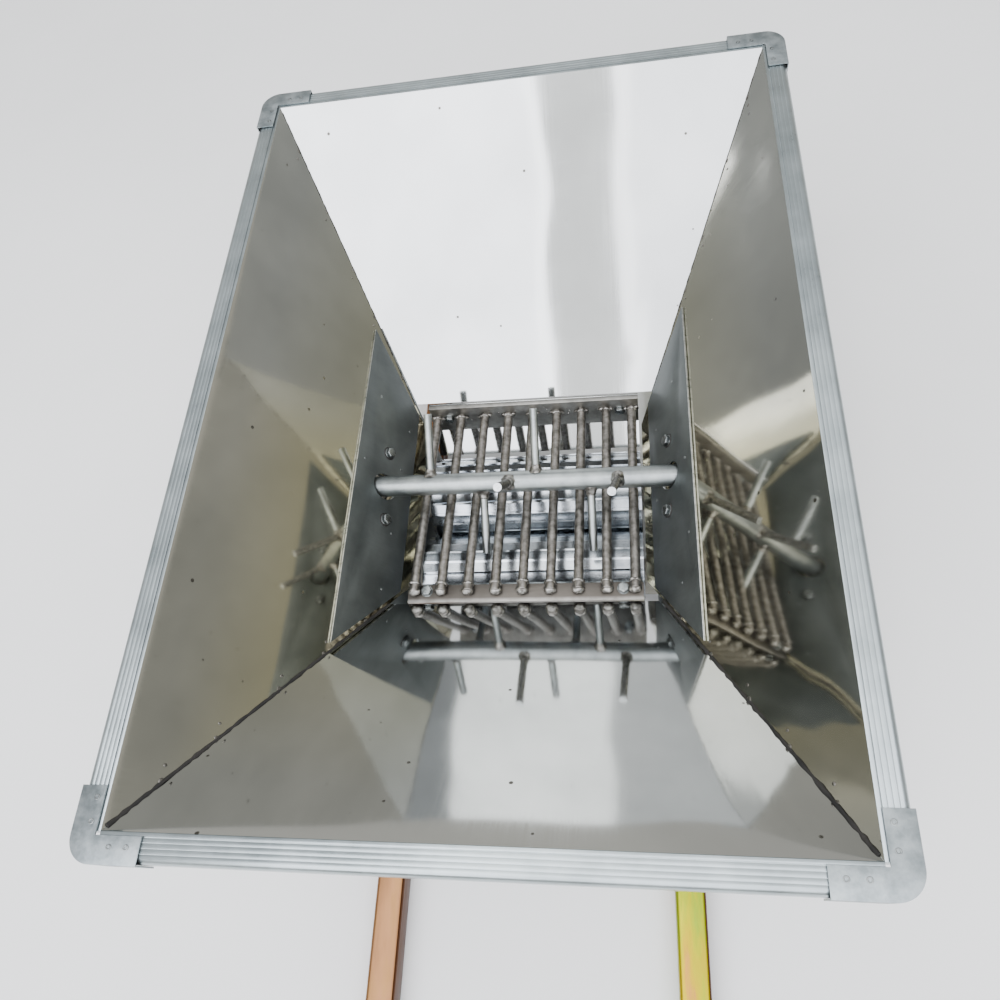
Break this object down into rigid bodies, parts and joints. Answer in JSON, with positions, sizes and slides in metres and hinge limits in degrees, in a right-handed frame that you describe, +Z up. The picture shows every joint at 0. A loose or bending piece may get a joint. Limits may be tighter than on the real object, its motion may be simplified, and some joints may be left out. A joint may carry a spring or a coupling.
{
  "type": "fruit crusher",
  "caption": "Hand-cranked fruit crusher: a rectangular sheet hopper over a rod grate, a pegged agitator shaft and a pair of fluted rollers, carried on long square rails.",
  "frame": {"origin": "on the underside of the two rails, midway between them and midway along them", "axes": "+Z up, +Y along the rails to the back, +X to the right when looking along +Y, the side that the crank is on"},
  "size_m": [0.553, 1.106, 0.4035],
  "materials": {
    "mirror_steel": "mirror-polished stainless sheet",
    "anodised_rim": "clear anodised extrusion with fine grooves",
    "stamped_cap": "stamped sheet, satin",
    "matte_steel": "matte grey sheet steel with a bright cut edge",
    "rod_steel": "dull drawn steel, brown-grey",
    "strip_steel": "flat bar, brown-grey with a bright edge",
    "satin_steel": "satin silver",
    "cast_aluminium": "machined, bright",
    "zinc_yellow": "yellow zinc passivated, iridescent",
    "black_plastic": "moulded",
    "white_nylon": "machined nylon",
    "belt_rubber": "fabric-backed rubber",
    "bolt_zinc": "bright zinc plated"
  },
  "bodies": {
    "frame": {"agitator_bearing_left": "white_nylon", "agitator_bearing_right": "white_nylon", "belt": "belt_rubber", "grate_rod_1": "rod_steel", "grate_rod_2": "rod_steel", "grate_rod_3": "rod_steel", "grate_rod_4": "rod_steel", "grate_rod_5": "rod_steel", "grate_rod_6": "rod_steel", "grate_rod_7": "rod_steel", "grate_rod_8": "rod_steel", "grate_rod_9": "rod_steel", "grate_strip_back": "strip_steel", "grate_strip_front": "strip_steel", "guide_back": "mirror_steel", "guide_front": "mirror_steel", "hopper_back": "mirror_steel", "hopper_front": "mirror_steel", "hopper_left": "mirror_steel", "hopper_right": "mirror_steel", "rail_bolt_left_back": "bolt_zinc", "rail_bolt_left_front": "bolt_zinc", "rail_bolt_right_back": "bolt_zinc", "rail_bolt_right_front": "bolt_zinc", "rail_cap_left_back": "black_plastic", "rail_cap_left_front": "black_plastic", "rail_cap_right_back": "black_plastic", "rail_cap_right_front": "black_plastic", "rail_left": "zinc_yellow", "rail_right": "zinc_yellow", "rim_back": "anodised_rim", "rim_cap_back_left": "stamped_cap", "rim_cap_back_right": "stamped_cap", "rim_cap_front_left": "stamped_cap", "rim_cap_front_right": "stamped_cap", "rim_front": "anodised_rim", "rim_left": "anodised_rim", "rim_right": "anodised_rim", "roller_bearing_back_left": "white_nylon", "roller_bearing_back_right": "white_nylon", "roller_bearing_front_left": "white_nylon", "roller_bearing_front_right": "white_nylon", "side_plate_left": "matte_steel", "side_plate_right": "matte_steel", "stiffener_left": "matte_steel", "stiffener_right": "matte_steel"},
    "drive_roller": {"crank_arm": "bolt_zinc", "crank_hub": "bolt_zinc", "crank_pin": "bolt_zinc", "gear_front": "white_nylon", "pulley_roller": "cast_aluminium", "roller_front": "cast_aluminium", "shaft_front": "satin_steel"},
    "crank_grip": {"grip": "black_plastic"},
    "driven_roller": {"gear_back": "white_nylon", "roller_back": "cast_aluminium", "shaft_back": "satin_steel"},
    "agitator": {"agitator_collar": "bolt_zinc", "agitator_shaft": "satin_steel", "pulley_agitator": "cast_aluminium"}
  },
  "joints": [
    {"name": "roller_front_spin", "type": "hinge", "parent": "frame", "child": "drive_roller", "pos_m": [0, -0.0656, 0.089], "axis": [-1, 0, 0], "continuous": true},
    {"name": "roller_back_spin", "type": "hinge", "parent": "frame", "child": "driven_roller", "pos_m": [0, 0.0384, 0.089], "axis": [-1, 0, 0], "continuous": true},
    {"name": "agitator_spin", "type": "hinge", "parent": "frame", "child": "agitator", "pos_m": [0, -0.005, 0.211], "axis": [-1, 0, 0], "continuous": true},
    {"name": "grip_spin", "type": "hinge", "parent": "drive_roller", "child": "crank_grip", "pos_m": [0.234, -0.2106, 0.089], "axis": [1, 0, 0], "continuous": true}
  ],
  "couplings": [
    {"joint": "roller_back_spin", "follows": "roller_front_spin", "ratio": -1},
    {"joint": "agitator_spin", "follows": "roller_front_spin", "ratio": 0.66667}
  ]
}
